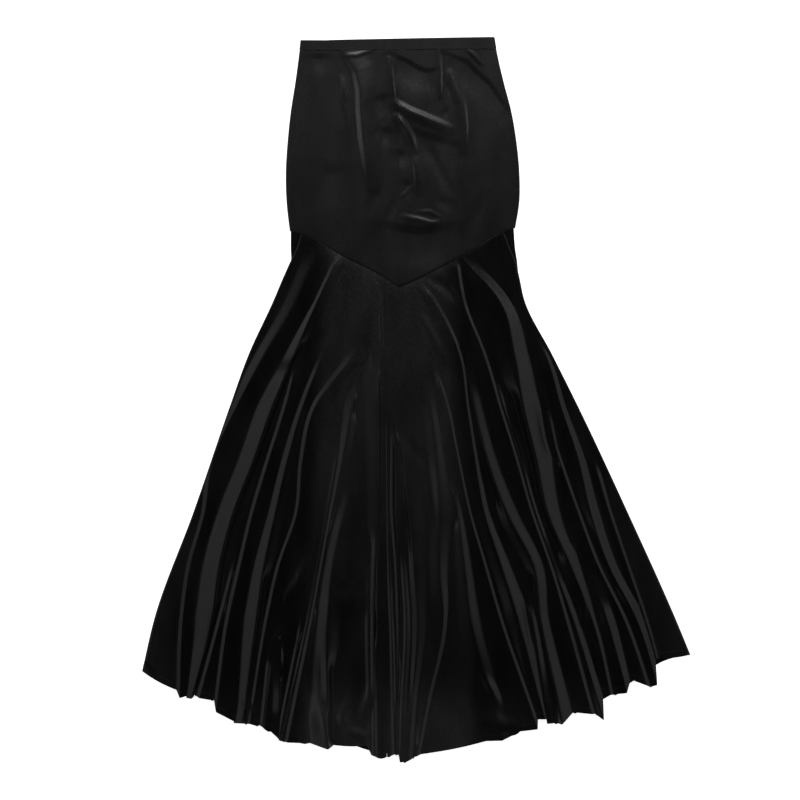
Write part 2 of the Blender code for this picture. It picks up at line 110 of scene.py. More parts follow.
# Flounce: its side seams and the seam between its front halves. Just under the V the front is
# drawn in, and the back shows beside it.
SideRow = namedtuple("SideRow", "down back_right front_right centre front_left back_left")
SIDES = [
    SideRow(293, -166, -149, -23, 157, 173),
    SideRow(320, -166, -157, -23, 167, 175),
    SideRow(340, -166, -166, -23, 175, 178),
    SideRow(360, -175, -175, -23, 180, 180),
    SideRow(400, -192, -192, -23, 189, 189),
    SideRow(480, -229, -229, -22, 230, 230),
    SideRow(560, -258, -258, -22, 270, 270),
    SideRow(720, -313, -313, -21, 345, 345),
    SideRow(880, -372, -372, -20, 417, 417),
    SideRow(965, -392, -392, -20, 452, 452),
]

# Front flounce: its folds in order across each half. A fold begins at `start` and is full grown
# at `full`. Its crest runs through the `at` values at the depths in CREST_DEPTHS. The flank on its
# `side` (-1 right, 1 left) is the steep one, `edge` wide, and the other is `back` wide. Those
# widths and its `rise` over the cloth beside it are given at the depths in SIZE_DEPTHS. `hem` is
# the depth of the hem at its right foot, its crest and its left foot.
CREST_DEPTHS = (340, 400, 480, 560, 640, 720, 800, 880, 1010)
SIZE_DEPTHS = (400, 560, 720, 880, 1010)
Fold = namedtuple("Fold", "name side start full at edge back rise hem")
RIGHT_FOLDS = [
    Fold("outer_roll", -1, 307, 360, (-132, -157, -204, -248, -284, -296, -318, -329, -334),
         (20, 13.5, 5.5, 5.5, 5.5), (30.5, 23, 27.5, 24.5, 21.5), (3.4, 4, 4, 4, 4), (990, 1002, 999)),
    Fold("side_roll", -1, 322, 372, (-97, -125, -159, -192, -220, -251, -272, -283, -318),
         (5.5, 26, 26, 29, 6), (21.5, 12, 24.5, 30.5, 9), (4, 8, 8, 8.5, 1.5), (1002, 1003, 997)),
    Fold("side_tuck", -1, 775, 877, (-87, -119, -156, -182, -210, -234, -251, -271, -306),
         (4.5, 4.5, 4.5, 5.5, 5.5), (12, 12, 12, 15, 18), (3, 3, 3, 4, 4), (999, 1002, 1005)),
    Fold("long_pleat", -1, 499, 542, (-82, -117, -152, -173, -198, -222, -241, -259, -277),
         (5.5, 6, 6, 6, 5.5), (18, 18, 24.5, 24.5, 30.5), (3.5, 4, 4, 4, 4.5), (1005, 1023, 1037)),
    Fold("second_roll", -1, 444, 542, (-58, -81, -116, -147, -170, -188, -205, -216, -234),
         (6, 7.5, 12, 21.5, 12), (18, 15, 15, 18, 15), (2.5, 3, 4, 6.5, 3.5), (1040, 1040, 1041)),
    Fold("inner_pleat", -1, 467, 528, (-47, -59, -73, -128, -147, -155, -182, -200, -222),
         (12, 7.5, 5.5, 5.5, 4.5), (21.5, 36.5, 18, 24.5, 9), (3.5, 4.5, 3.5, 4, 1.5), (1041, 1041, 1044)),
    Fold("hem_loop", -1, 933, 973, (-44, -56, -70, -125, -144, -150, -175, -190, -204),
         (4.5, 4.5, 4.5, 4.5, 5.5), (4.5, 4.5, 4.5, 4.5, 4.5), (3, 3, 3, 3, 4), (1043, 1046, 1049)),
    Fold("hem_panel", -1, 945, 1006, (-41, -53, -67, -122, -141, -146, -167, -178, -182),
         (9, 9, 9, 9, 12), (6, 6, 6, 6, 3), (3, 3, 3, 3, 3), (1053, 1064, 1066)),
    Fold("hem_pleat", -1, 854, 952, (-38, -50, -64, -114, -125, -134, -138, -148, -173),
         (4, 4, 4, 4.5, 4.5), (7.5, 7.5, 7.5, 9, 9), (2.5, 2.5, 2.5, 2.5, 3), (1066, 1066, 1067)),
    Fold("twin_pleat", -1, 611, 672, (-36, -47, -62, -90, -96, -109, -123, -138, -167),
         (4.5, 4.5, 5.5, 4.5, 3), (3, 3, 3, 3, 1.5), (2, 2, 2, 2, 0.5), (1067, 1067, 1067)),
    Fold("panel_pleat", -1, 520, 563, (-35, -44, -61, -72, -87, -103, -118, -132, -158),
         (9, 13.5, 7, 6, 6), (15, 12, 12, 13.5, 18), (3, 3.5, 3.5, 4, 4), (1068, 1069, 1070)),
    Fold("middle_roll", -1, 657, 742, (-33, -41, -53, -58, -61, -84, -101, -109, -109),
         (12, 12, 12, 16.5, 27.5), (18, 18, 24.5, 21.5, 15), (3, 3, 3.5, 5, 8), (1070, 1078, 1073)),
    Fold("centre_ripple", -1, 775, 865, (-30, -36, -41, -44, -44, -44, -46, -48, -46),
         (6, 6, 6, 6, 5.5), (4.5, 4.5, 4.5, 4.5, 4.5), (1.5, 1.5, 1.5, 2, 1.5), (1074, 1084, 1087)),
    Fold("seam_roll", -1, 474, 559, (-28, -30, -33, -33, -33, -34, -38, -40, -39),
         (18, 30.5, 21.5, 5.5, 5.5), (4.5, 4.5, 4.5, 4.5, 5.5), (3, 4.5, 3, 2, 2), (1088, 1090, 1093)),
]
LEFT_FOLDS = [
    Fold("seam_ripple", -1, 543, 676, (-20, -20, -20, -21, -21, -19, -17, -13, -10),
         (4.5, 4.5, 4.5, 4.5, 4.5), (4.5, 4.5, 4.5, 4.5, 5.5), (1.2, 1.4, 1.6, 2, 2), (1089, 1087, 1088)),
    Fold("point_ripple", -1, 543, 628, (-15, -14, -12, -11, -11, -11, -5, -2, -2),
         (4, 4, 4, 4.5, 3), (3, 3, 3, 3, 3), (1, 1.2, 1.4, 1.6, 0.5), (1088, 1088, 1089)),
    Fold("point_pleat", -1, 733, 829, (-6, -5, -5, -5, -3, 1, 5, 10, 4),
         (4.5, 4.5, 4.5, 5.5, 4.5), (4.5, 4.5, 4.5, 7.5, 9), (1.4, 1.4, 1.6, 2, 2.5), (1090, 1099, 1099)),
    Fold("point_roll", 1, 543, 652, (-5, -6, -7, -8, 5, 13, 21, 27, 18),
         (6, 7.5, 26, 13.5, 7.5), (6, 6, 9, 12, 9), (1.5, 2, 3.5, 3, 2.5), (1099, 1097, 1093)),
    Fold("soft_roll", 1, 508, 575, (18, 27, 36, 46, 56, 60, 59, 65, 40),
         (10.5, 12, 21.5, 7.5, 6), (12, 12, 18, 21.5, 15), (2, 3, 4, 4, 2.5), (1091, 1090, 1087)),
    Fold("fine_roll", 1, 644, 737, (27, 36, 46, 56, 71, 87, 97, 106, 140),
         (6, 6, 7.5, 16.5, 16.5), (9, 9, 9, 21.5, 24.5), (2, 2, 2.5, 5, 2.5), (1067, 1066, 1059)),
    Fold("long_pleat", 1, 489, 550, (38, 47, 47, 71, 87, 104, 127, 150, 195),
         (4.5, 4.5, 4.5, 5.5, 5.5), (9, 9, 15, 21.5, 27.5), (3, 3, 3, 4, 4.5), (1052, 1049, 1034)),
    Fold("broad_roll", 1, 372, 414, (8, 51, 89, 101, 113, 127, 152, 177, 213),
         (5.5, 5.5, 9, 23, 4.5), (24.5, 21.5, 18, 24.5, 12), (4, 4, 4.5, 7, 1.5), (1034, 1034, 1034)),
    Fold("roll_edge", 1, 831, 917, (36, 61, 96, 111, 126, 141, 181, 200, 219),
         (4.5, 4.5, 4.5, 6, 10.5), (7.5, 7.5, 7.5, 6, 12), (3, 3, 3, 3, 4.5), (1037, 1041, 1040)),
    Fold("panel_roll", 1, 492, 561, (61, 79, 96, 112, 131, 160, 201, 212, 239),
         (7.5, 13.5, 20, 13.5, 20), (9, 10.5, 21.5, 10.5, 15), (3, 4, 6, 4.5, 6), (1040, 1041, 1024)),
    Fold("thin_pleat", 1, 325, 375, (85, 95, 126, 150, 175, 198, 226, 250, 286),
         (7, 4.5, 4.5, 5.5, 5.5), (21.5, 21.5, 21.5, 21.5, 21.5), (4, 4, 4, 4, 4), (1024, 1026, 1026)),
    Fold("twin_pleat", 1, 512, 573, (93, 102, 132, 157, 181, 205, 232, 261, 301),
         (4.5, 4.5, 4.5, 9, 10.5), (4, 4, 4.5, 7.5, 12), (3, 3, 3, 4.5, 6), (1028, 1035, 997)),
    Fold("side_roll", 1, 327, 380, (99, 150, 172, 185, 205, 222, 257, 290, 322),
         (23, 36.5, 27.5, 6, 4.5), (45.5, 39.5, 21.5, 18, 12), (7, 10, 8, 4, 1), (997, 997, 997)),
    Fold("hem_roll", 1, 836, 884, (109, 157, 175, 190, 213, 237, 283, 312, 348),
         (12, 12, 12, 13.5, 9), (10.5, 10.5, 10.5, 12, 15), (4, 4, 4, 4.5, 4.5), (996, 994, 976)),
    Fold("outer_pleat", 1, 550, 648, (116, 163, 182, 216, 241, 269, 299, 338, 383),
         (4.5, 4.5, 4.5, 5.5, 5.5), (12, 12, 21.5, 21.5, 18), (4, 4, 4, 4, 4.5), (975, 983, 986)),
    Fold("outer_roll", 1, 454, 523, (122, 170, 220, 244, 270, 288, 315, 357, 398),
         (5.5, 7.5, 15, 13.5, 6), (18, 18, 13.5, 15, 9), (4, 4.5, 5, 5, 3), (985, 982, 945)),
    Fold("edge_tuck", 1, 634, 682, (128, 176, 226, 258, 292, 317, 344, 371, 407),
         (9, 9, 4.5, 4, 3), (9, 9, 10.5, 7.5, 6), (2.5, 2.5, 2.5, 2, 0.5), (944, 943, 942)),
]
HEM_RIGHT_CORNER = 962
HEM_CENTRE = 1091
HEM_LEFT_CORNER = 937
HEM_BULGE = 1.5  # sag of the hem between two folds
CLOSEST = 1.8  # least distance between two crests
FLAT_SHARE = 0.06  # least share of the way between two crests that lies flat
EDGE_SHARE = 0.85  # most of the way to the next crest that a steep flank takes
LEAD_IN = 40.0  # a fold's flanks widen over this length above its start
LEAST_FLANK = 0.8  # width of a flank above that
ROUNDED = 0.1  # share of a flank's width that is rounded at its crest, and at its foot
STEEPEST_EDGE = (0.37, 0.29)  # most rise of a fold, as a share of its steep flank's width,
STEEPEST_AT = (0, 300)  # this far from the laid skirt's middle
STEEPEST_BACK = 1.2  # the same for the other flank, anywhere
GENTLE_BACK = (0.3, 0.42)  # from this share to this, that flank is drawn in to a steep one
STEEP_BACK = 0.95  # its share then
BACK_CLAIM = 0.8  # share of that flank that keeps folds not yet begun away

# Back flounce: its hem, straight across the folds.
BACK_HEM = [
    SeamRow(-392, 962),
    SeamRow(-337, 986),
    SeamRow(-213, 1030),
    SeamRow(-106, 1062),
    SeamRow(-20, 1087),
    SeamRow(20, 1083),
    SeamRow(106, 1058),
    SeamRow(205, 1029),
    SeamRow(298, 1010),
    SeamRow(350, 980),
    SeamRow(398, 948),
    SeamRow(441, 936),
]

# Fineness of the shells. Rows and columns are closer together at a panel's edges.
CROWDING = 0.97
FLANK_SHARES = ((0.0, 0.1, 0.3, 0.5, 0.7, 0.9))
FLAT_STEP = 5.0
FLOUNCE_ROWS = 165
EDGE_STEPS = [0.0, 0.01, 0.03, 0.08]
YOKE_COLUMNS = 160
YOKE_ROWS = 250
BAND_ROWS = 12
BACK_COLUMNS = 100
BACK_ROWS = 120

# Where a line running down a panel meets its edges is found in steps, from one of these depths.
MEETING_STEPS = 12
WAIST_DOWN = 20.0
HIP_DOWN = 340.0


def curve(xs, ys, x):
    """Smooth curve through (xs, ys), straight on beyond both ends."""
    xs = np.asarray(xs, float)
    ys = np.asarray(ys, float)
    slopes = np.gradient(ys, xs)
    cell = np.clip(np.searchsorted(xs, x) - 1, 0, len(xs) - 2)
    width = xs[cell + 1] - xs[cell]
    inside = np.clip(x, xs[0], xs[-1])
    s = (inside - xs[cell]) / width
    start = (1 + 2 * s) * (1 - s) ** 2 * ys[cell] + s * (1 - s) ** 2 * width * slopes[cell]
    end = s * s * (3 - 2 * s) * ys[cell + 1] + s * s * (s - 1) * width * slopes[cell + 1]
    beyond = np.where(x < xs[0], slopes[0], slopes[-1]) * (x - inside)
    return start + end + beyond


def column(table, name, x):
    """The named column of a table whose first column is the place along it."""
    return curve([row[0] for row in table], [getattr(row, name) for row in table], x)


def seam_down(across):
    """Depth of the V seam at this distance across."""
    point = V_LEFT[0].across
    return np.where(across < point, column(V_RIGHT, "down", across), column(V_LEFT, "down", across))


def meet(line_across, edge_down, first_down):
    """Depth at which a line running down the skirt meets an edge running across it."""
    down = np.full_like(line_across(first_down), first_down)
    for _ in range(MEETING_STEPS):
        down = edge_down(line_across(down))
    return down


def puff(across, down, table, right, left):
    """Height of the front's middle surface over the back's top, with no folds."""
    from_right = across - column(table, right, down)
    from_left = column(table, left, down) - across
    inside = np.clip(np.minimum(from_right, from_left), 0, None)
    full = np.interp(down, PUFF_DEPTHS, PUFF) - RIM
    return RIM * (1 - np.exp(-inside / RIM_ROLL)) + full * (1 - np.exp(-inside / PUFF_REACH))


def grow(down, start, full):
    """0 where a fold begins, 1 where it is full grown."""
    s = np.clip((down - start) / (full - start), 0, 1)
    return s * s * (3 - 2 * s)


def spread(rows):
    """Shares from 0 to 1, closer together at both ends."""
    s = np.linspace(0, 1, rows)
    return s - CROWDING * np.sin(2 * np.pi * s) / (2 * np.pi)


# ---- folds of the flounce


def facet(away, rounded):
    """Height on a flank, `away` from its crest, 0, to its foot, 1: an even fall that is rounded
    over this share at both."""
    nearer = np.minimum(away, 1 - away)
    curved = nearer**2 / (2 * rounded)
    fallen = np.where(nearer < rounded, curved, nearer - rounded / 2) / (1 - rounded)
    return np.where(away < 0.5, 1 - fallen, fallen)


def presence(fold, down):
    """0 well above the place where a fold begins, 1 from there on."""
    return grow(down, fold.start - LEAD_IN, fold.start)


def flank(fold, down, hand):
    """Width of a fold's flank on its right (-1) or its left (1)."""
    wide = np.interp(down, SIZE_DEPTHS, fold.edge if hand == fold.side else fold.back)
    return LEAST_FLANK + (wide - LEAST_FLANK) * presence(fold, down)


def fold_lines(folds, down, first_edge, last_edge):
    """The panel's first edge, each fold's crest and its last edge at these depths, in order.
    A fold that hasn't begun gives way to the flanks of those that have, to the steep ones last."""
    here = [presence(fold, down) for fold in folds]
    lines = [curve(CREST_DEPTHS, fold.at, down) for fold in folds]
    places = range(len(folds))
    for firm, hand in ((False, 1), (False, -1), (True, 1), (True, -1)):
        for index in places[::hand]:
            for other in places[:index] if hand > 0 else places[index + 1 :]:
                if (folds[other].side == hand) != firm:
                    continue
                kept = hand * flank(folds[other], down, hand) * (1 if firm else BACK_CLAIM)
                pushed = hand * np.maximum(hand * lines[index], hand * (lines[other] + kept))
                yielding = np.clip(here[other] - here[index], 0, 1)
                lines[index] = lines[index] + yielding * (pushed - lines[index])
    lines = [first_edge(down)] + lines + [last_edge(down)]
    for index in range(1, len(lines) - 1):
        lines[index] = np.maximum(lines[index], lines[index - 1] + CLOSEST)
    for index in range(len(lines) - 2, 0, -1):
        lines[index] = np.minimum(lines[index], lines[index + 1] - CLOSEST)
    return lines


def flank_sizes(folds, down, lines):
    """For each stretch between two lines, the widths of the flanks at its start and its end."""
    sizes = []
    for index in range(len(folds) + 1):
        room = (lines[index + 1] - lines[index]) * (1 - FLAT_SHARE)
        before = folds[index - 1] if index > 0 else None
        after = folds[index] if index < len(folds) else None
        start_wide = flank(before, down, 1) if before else 0 * room
        end_wide = flank(after, down, -1) if after else 0 * room
        start_firm = before is not None and before.side > 0
        end_firm = after is not None and after.side < 0
        if start_firm and not end_firm:
            start_wide = np.minimum(start_wide, EDGE_SHARE * room)
            end_wide = np.minimum(end_wide, room - start_wide)
        elif end_firm and not start_firm:
            end_wide = np.minimum(end_wide, EDGE_SHARE * room)
            start_wide = np.minimum(start_wide, room - end_wide)
        else:
            crowding = np.maximum((start_wide + end_wide) / room, 1)
            start_wide, end_wide = start_wide / crowding, end_wide / crowding
        sizes.append([start_wide, end_wide])
    return sizes


def fold_rises(folds, down, lines, sizes):
    """Height of each fold's crest over the cloth beside it."""
    rises = []
    for index, fold in enumerate(folds):
        right, left = sizes[index][1], sizes[index + 1][0]
        edge_wide, back_wide = (right, left) if fold.side < 0 else (left, right)
        tall = np.interp(down, SIZE_DEPTHS, fold.rise) * grow(down, fold.start, fold.full)
        steepest = np.interp(np.abs(lines[index + 1] - MIDDLE_ACROSS), STEEPEST_AT, STEEPEST_EDGE)
        rises.append(np.minimum(tall, np.minimum(steepest * edge_wide, STEEPEST_BACK * back_wide)))
    return rises


def shaped_folds(folds, down, first_edge, last_edge):
    """The lines, the widths of the flanks and the heights of the crests at these depths. A flank
    that would be between gentle and steep is drawn in until it is steep."""
    lines = fold_lines(folds, down, first_edge, last_edge)
    sizes = flank_sizes(folds, down, lines)
    rises = fold_rises(folds, down, lines, sizes)
    for index, fold in enumerate(folds):
        stretch, end = (index + 1, 0) if fold.side < 0 else (index, 1)
        back_wide = sizes[stretch][end]
        slope = rises[index] / back_wide
        drawn_in = grow(slope, *GENTLE_BACK) * (1 - np.minimum(slope / STEEP_BACK, 1))
        sizes[stretch][end] = back_wide * (1 - drawn_in)
    return lines, sizes, rises


def flat_shares(index, last, steps):
    """Even shares of a flat stretch, but closer together at the panel's own edges."""
    shares = np.arange(steps) / steps
    if index == 0:
        return EDGE_STEPS + [share for share in shares if share > EDGE_STEPS[-1]]
    if index == last:
        inner = [share for share in shares if share < 1 - EDGE_STEPS[-1]]
        return inner + [1 - share for share in EDGE_STEPS[:0:-1]]
    return list(shares)


def flounce_columns(folds, first_edge, last_edge):
    """(stretch, part, share) of each column: part 0 is the flank after a crest, 1 flat cloth and
    2 the flank before a crest."""
    depths = np.array(CREST_DEPTHS, float)
    lines, sizes, _ = shaped_folds(folds, depths, first_edge, last_edge)
    columns = []
    for index in range(len(folds) + 1):
        flat = (lines[index + 1] - lines[index] - sizes[index][0] - sizes[index][1]).max()
        steps = max(2, math.ceil(flat / FLAT_STEP))
        if index > 0:
            columns += [(index, 0, share) for share in FLANK_SHARES]
        columns += [(index, 1, share) for share in flat_shares(index, len(folds), steps)]
        if index < len(folds):
            columns += [(index, 2, share) for share in FLANK_SHARES]
    return columns + [(len(folds), 1, 1.0)]


def flounce_points(folds, columns, down, first_edge, last_edge):
    """(across, rise) of points whose last axis runs over the columns."""
    lines, sizes, rises = shaped_folds(folds, down, first_edge, last_edge)
    across = np.zeros_like(down)
    rise = np.zeros_like(down)
    for place, (index, part, share) in enumerate(columns):
        start, end = lines[index][..., place], lines[index + 1][..., place]
        after, before = sizes[index][0][..., place], sizes[index][1][..., place]
        if part == 1:
            across[..., place] = start + after + (end - start - after - before) * share
            continue
        fold, away = (folds[index - 1], share) if part == 0 else (folds[index], 1 - share)
        across[..., place] = start + after * away if part == 0 else end - before * away
        tall = rises[index - 1 if part == 0 else index][..., place]
        rise[..., place] = tall * facet(away, ROUNDED)
    return across, rise


def hem_depths(folds, columns, corners):
    """Depth of the front hem on each column: corners are those at the first and the last edge."""
    depths = []
    for index, part, share in columns:
        last = corners[0] if index == 0 else folds[index - 1].hem[2]
        following = corners[1] if index == len(folds) else folds[index].hem[0]
        if part == 0:
            last, following = folds[index - 1].hem[1:]
        if part == 2:
            last, following = folds[index].hem[:2]
        bulge = HEM_BULGE * math.sin(math.pi * share) if part == 1 else 0
        depths.append(last + (following - last) * share + bulge)
    return np.array(depths, float)


def flounce_front(folds, first_edge, last_edge, corners):
    """Middle surface of one half of the front flounce, as rows of points from the V to the hem."""
    columns = flounce_columns(folds, first_edge, last_edge)

    def line_across(down):
        return flounce_points(folds, columns, down, first_edge, last_edge)[0]

    top = meet(line_across, seam_down, np.full(len(columns), HIP_DOWN)) + SEAM_GAP / 2
    bottom = hem_depths(folds, columns, corners)
    down = top + (bottom - top) * spread(FLOUNCE_ROWS)[:, None]
    across, rise = flounce_points(folds, columns, down, first_edge, last_edge)
    height = CLOTH + SEAM_GAP + CLOTH / 2 + rise
    height += puff(across, down, SIDES, "front_right", "front_left")
    height += crease_height(across, down, FLOUNCE_CREASES) + wobble(across, down)
    below = (down - seam_down(across)) * V_SLOPE
    height -= FLOUNCE_DIP * np.exp(-below / FLOUNCE_DIP_REACH)
    return np.stack([across, down, height], axis=-1)


def between(edges, top_down, bottom_down, columns, rows):
    """(across, down) of a plain panel's grid: `columns` steps from each edge to the next."""
    shares = (len(edges) - 1) * spread(columns * (len(edges) - 1) + 1)
    grid = []
    for share in shares:
        stretch = min(int(share), len(edges) - 2)
        way = share - stretch

        def line_across(down):
            return edges[stretch](down) * (1 - way) + edges[stretch + 1](down) * way

        top = meet(line_across, top_down, WAIST_DOWN)
        bottom = meet(line_across, bottom_down, HIP_DOWN)
        down = top + (bottom - top) * spread(rows)
        grid.append(np.stack([line_across(down), down], axis=-1))
    return np.stack(grid, axis=1)


def raised(plan, height):
    """Adds a height, one number or one for each point, to a plan grid."""
    return np.concatenate([plan, np.broadcast_to(height, plan.shape[:2])[..., None]], axis=-1)


def edge(table, name, inset=0.0):
    """A side or centre seam as a function of depth, moved across by `inset`."""
    return lambda down: column(table, name, down) + inset


def waist(name, below=0.0):
    """A line of the waist as a function of the distance across."""
    return lambda across: column(WAIST, name, across) + below


# ---- creases

# Ridges, and troughs where the height is negative. The widths are those on the right hand and
# the left hand of someone who walks along the points.
Crease = namedtuple("Crease", "name points height right_hand left_hand")
YOKE_CREASES = [
    Crease("right_streak", [(-81, 24), (-65, 52), (-59, 79), (-58, 112), (-55, 152), (-50, 185), (-44, 222)],
           3.4, 9, 24.5),
    Crease("right_nick", [(-90, 62), (-87, 82), (-84, 93)], 1, 2.5, 7.5),
    Crease("waist_pucker", [(-87, 27), (-67, 27), (-43, 20)], 0.5, 4.5, 4),
    Crease("waist_dent", [(-134, 33), (-109, 33)], -0.7, 21.5, 7.5),
    Crease("right_dent", [(-90, 99), (-85, 135)], -0.4, 4.5, 6),
    Crease("centre_dent", [(-15, 93), (-29, 96), (-43, 103)], -0.8, 9, 30.5),
    Crease("hip_dish", [(-122, 207), (-102, 213), (-82, 210)], -1.1, 61, 20),
    Crease("seam_edge", [(-15, 33), (-12, 61), (-9, 91), (-2, 106)], 1.3, 7, 3),
    Crease("waist_wave", [(-6, 33), (12, 41), (26, 50), (40, 55), (52, 53)], -1.5, 36.5, 6.5),
    Crease("slant_ridge", [(-6, 100), (15, 112), (46, 125), (74, 137)], 2.2, 12, 6.5),
    Crease("slant_hollow", [(14, 143), (30, 152), (58, 160), (76, 166)], -1.8, 45.5, 10.5),
    Crease("seam_ridge", [(-3, 120), (8, 135), (17, 150), (23, 170)], 2.8, 9, 5.5),
    Crease("seam_ridge_low", [(18, 170), (24, 193), (26, 216), (27, 234)], 1.8, 5.5, 9),
    Crease("dart_seam", [(65, 20), (65, 49), (65, 82), (71, 96)], -0.5, 2.5, 4.5),
    Crease("dart_lip", [(59, 18), (61, 52), (61, 90)], 1.6, 4.5, 3),
    Crease("dart_dent", [(73, 64), (74, 87)], -0.6, 6, 6),
    Crease("dart_dent_low", [(71, 109), (67, 122)], -0.5, 4.5, 4.5),
    Crease("left_streak", [(78, 55), (88, 79), (96, 102), (99, 132), (99, 170)], 2, 12, 5),
    Crease("waist_fall", [(73, 30), (99, 40), (114, 55), (134, 73), (147, 93), (158, 109)], -1.4, 33.5, 6.5),
    Crease("fall_lip", [(103, 18), (114, 29), (123, 40)], 0.9, 4.5, 4.5),
    Crease("seam_dimple", [(-30, 146), (-12, 146)], -1, 21.5, 9),
    Crease("seam_dimple_mid", [(-5, 179), (9, 179)], -0.9, 18, 7.5),
    Crease("seam_dimple_low", [(5, 225), (18, 225)], -1, 21.5, 9),
    Crease("squiggle", [(-2, 243), (8, 237), (14, 228), (23, 228)], 0.4, 4, 3),
    Crease("smile_ridge", [(5, 271), (27, 275), (49, 281), (62, 278)], 1, 7.5, 3),
    Crease("smile_tip", [(27, 264), (46, 264), (64, 274)], 0.6, 4.5, 2.5),
    Crease("smile_hollow", [(-12, 295), (30, 301), (67, 295)], -3.2, 61, 12),
    Crease("drag_right", [(-23, 216), (-33, 234), (-46, 264)], -0.6, 9, 9),
    Crease("drag_centre", [(-3, 239), (-18, 274), (-21, 289)], -0.6, 7.5, 7.5),
    Crease("drag_mid", [(41, 163), (52, 185), (73, 231)], -0.9, 9, 9),
    Crease("drag_left", [(126, 239), (109, 284), (103, 307)], -0.9, 10.5, 10.5),
    Crease("hip_dent", [(58, 246), (78, 258)], -0.6, 9, 9),
    Crease("upper_drag", [(-24, 125), (-40, 152)], -0.3, 4.5, 4.5),
]
FLOUNCE_CREASES = [
    Crease("pucker_ridge", [(-100, 851), (-82, 847), (-49, 850)], 3.4, 36.5, 7.5),
    Crease("pucker_tip", [(-94, 821), (-81, 828), (-65, 841)], 2.2, 7.5, 6),
    Crease("lower_band", [(-140, 793), (-152, 824), (-173, 851)], 3.2, 9, 9),
    Crease("comma_ridge", [(-187, 906), (-173, 901), (-161, 915)], 2.6, 9, 6),
    Crease("comma_tail", [(-175, 920), (-175, 955)], 1.6, 4.5, 4.5),
    Crease("hem_patch", [(-119, 1012), (-112, 1040), (-109, 1073)], 6.5, 24.5, 6),
    Crease("hem_patch_low", [(-79, 1006), (-85, 1024), (-90, 1040)], 2.6, 7.5, 9),
    Crease("pleat_slit", [(-119, 938), (-117, 1011)], -1.5, 4.5, 4.5),
    Crease("hem_blob", [(-47, 988), (-52, 1012), (-58, 1034)], 3, 7.5, 10.5),
    Crease("hem_streak", [(-94, 1024), (-76, 1052), (-43, 1064)], 2.6, 7.5, 9),
    Crease("point_edge", [(-35, 374), (-29, 398), (-27, 459), (-26, 496)], 1.2, 4.5, 2.5),
    Crease("fork_dent", [(-55, 461), (-47, 483), (-55, 517)], -1.6, 6, 6),
    Crease("arm_dent", [(-109, 447), (-122, 459), (-132, 474)], -0.8, 7.5, 7.5),
    Crease("panel_dent", [(12, 616), (38, 644)], -1.1, 9, 9),
    Crease("panel_hollow", [(43, 646), (55, 739)], -1.6, 9, 9),
    Crease("branch_line", [(36, 426), (53, 459), (70, 492)], 1.6, 5.5, 6),
    Crease("branch_strip", [(79, 464), (78, 520), (76, 556)], 1.6, 4, 4),
    Crease("arm_wedge", [(49, 366), (68, 378), (91, 401)], -2, 9, 9),
    Crease("third_line", [(160, 550), (170, 588), (182, 626), (192, 664), (196, 687)], 0.9, 3, 3),
    Crease("middle_strip", [(87, 600), (96, 626), (106, 672), (116, 690)], 1.3, 4, 4),
    Crease("twin_top", [(277, 854), (278, 889)], 2.2, 6, 6),
    Crease("twin_line", [(278, 888), (293, 920), (301, 961)], 1, 3, 3),
    Crease("faint_line", [(176, 900), (185, 938), (196, 986)], 0.9, 3, 3),
    Crease("roll_slit", [(188, 851), (198, 918)], -1.5, 3, 3),
    Crease("band_wedge", [(214, 555), (220, 611), (237, 644)], -1.6, 6, 6),
    Crease("hem_line", [(93, 997), (99, 1029), (108, 1066)], 1.9, 4.5, 5.5),
    Crease("hem_line_right", [(58, 1040), (58, 1070)], 1.2, 4, 4),
    Crease("hem_line_left", [(84, 1040), (85, 1069)], 1.2, 4, 4),
    Crease("hem_swell", [(128, 970), (140, 991), (149, 1009)], 2.6, 6, 7.5),
    Crease("edge_glint", [(-234, 1006), (-225, 1024)], 1.6, 6, 6),
    Crease("corner_glint", [(-394, 948), (-377, 964)], 1.6, 6, 6),
    Crease("hem_nick", [(134, 1031), (152, 1040), (192, 1047)], 3.4, 9, 12),
]
# The back lies on the surface and lifts off it only along these.
YOKE_BACK_CREASES = [
    Crease("right_lift", [(-112, 70), (-104, 140), (-88, 205)], 0.9, 12, 14),
    Crease("right_drag", [(-60, 225), (-44, 262), (-30, 300)], 0.7, 9, 10),
    Crease("left_lift", [(58, 60), (66, 120), (60, 180)], 1.0, 14, 11),
    Crease("left_drag", [(130, 190), (112, 232), (86, 275)], 0.8, 10, 12),
]
FLOUNCE_BACK_CREASES = [
    Crease("right_outer", [(-190, 480), (-245, 640), (-302, 800), (-330, 905)], 1.6, 11, 15),
    Crease("right_long", [(-130, 410), (-176, 580), (-226, 760), (-262, 950)], 1.9, 14, 12),
    Crease("right_short", [(-140, 700), (-166, 830), (-184, 985)], 1.3, 9, 12),
    Crease("right_inner", [(-62, 450), (-84, 640), (-106, 820), (-118, 1010)], 1.7, 13, 16),
    Crease("middle", [(-12, 520), (-20, 700), (-16, 880), (-22, 1040)], 1.5, 12, 12),
    Crease("left_short", [(40, 640), (58, 790), (66, 1010)], 1.2, 10, 9),
    Crease("left_inner", [(58, 440), (96, 610), (132, 800), (160, 990)], 1.9, 12, 15),
    Crease("left_long", [(132, 400), (186, 570), (240, 750), (286, 940)], 1.8, 15, 12),
    Crease("left_outer", [(214, 520), (272, 660), (330, 800), (372, 900)], 1.4, 12, 10),
]
CREASE_SPREAD = 1.3  # reach of a crease to a side, as a share of its width there in the table
CREASE_WIDTHS = (10, 35)  # between these widths the share of a side that is rounded grows
CREASE_ROUNDED = (0.25, 0.49)  # from the first of these to the second
TAPER_START = 0.08  # a crease fades as half a wave, less this share of it at both ends,
TAPER_POWER = 0.8  # raised to this power
FAR = 1e9
TINY = 1e-6

WOBBLE_LONG = 0.35  # height of the slow unevenness of the front
WOBBLE_SHORT = 0.15  # and of the quicker one on it

